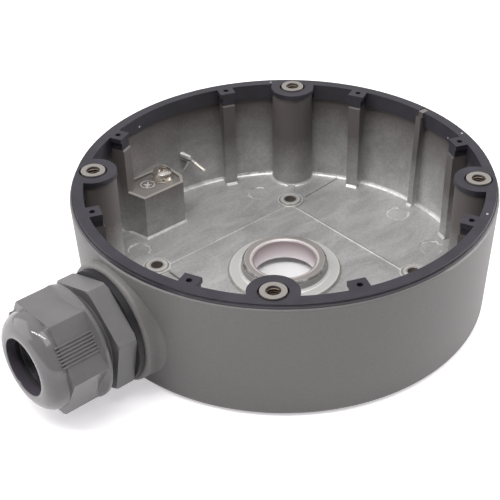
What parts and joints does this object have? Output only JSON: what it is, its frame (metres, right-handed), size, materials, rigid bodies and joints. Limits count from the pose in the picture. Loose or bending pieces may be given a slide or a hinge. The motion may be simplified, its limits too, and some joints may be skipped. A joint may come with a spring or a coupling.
{
  "type": "camera junction box",
  "caption": "Round die-cast junction box that carries a dome camera, with a rim gasket, a ground terminal, a threaded conduit entry and a side cable gland.",
  "frame": {"origin": "centre of the base screw circle on the mounting plane, the box's underside", "axes": "+Z out of the mounting plane towards the open rim, -X along the cable gland's axis"},
  "size_m": [0.1931, 0.1566, 0.0489],
  "materials": {
    "cast_housing": "die-cast aluminium, grey powder coat outside, bare floor inside",
    "gasket_rubber": "matt dark grey moulded rubber",
    "washer_rubber": "matt black rubber",
    "gland_polyamide": "semi-matt grey polyamide",
    "cage_polyamide": "matt dark grey polyamide",
    "seal_rubber": "matt black rubber",
    "nut_polyamide": "semi-gloss grey polyamide",
    "screw_steel": "bright nickel-plated steel",
    "spring_steel": "nickel-plated spring steel",
    "washer_steel": "nickel-plated steel"
  },
  "bodies": {
    "box": {"housing": "cast_housing", "rim_gasket": "gasket_rubber", "gland_washer": "washer_rubber", "gland_body": "gland_polyamide", "ground_screw": "screw_steel", "spring_washer": "spring_steel", "flat_washer": "washer_steel"},
    "clamp": {"clamp_cage": "cage_polyamide", "cable_seal": "seal_rubber"},
    "nut": {"dome_nut": "nut_polyamide"}
  },
  "joints": [
    {"name": "nut_advance", "type": "slide", "parent": "box", "child": "clamp", "axis": [-1, 0, 0], "range_m": [-0.00226, 0.00602]},
    {"name": "nut_turn", "type": "hinge", "parent": "clamp", "child": "nut", "pos_m": [-0.1, 0, 0.0226], "axis": [-1, 0, 0], "range_deg": [-540, 1440]}
  ],
  "couplings": [
    {"joint": "nut_advance", "follows": "nut_turn", "m_per_rad": 0.00023873}
  ]
}
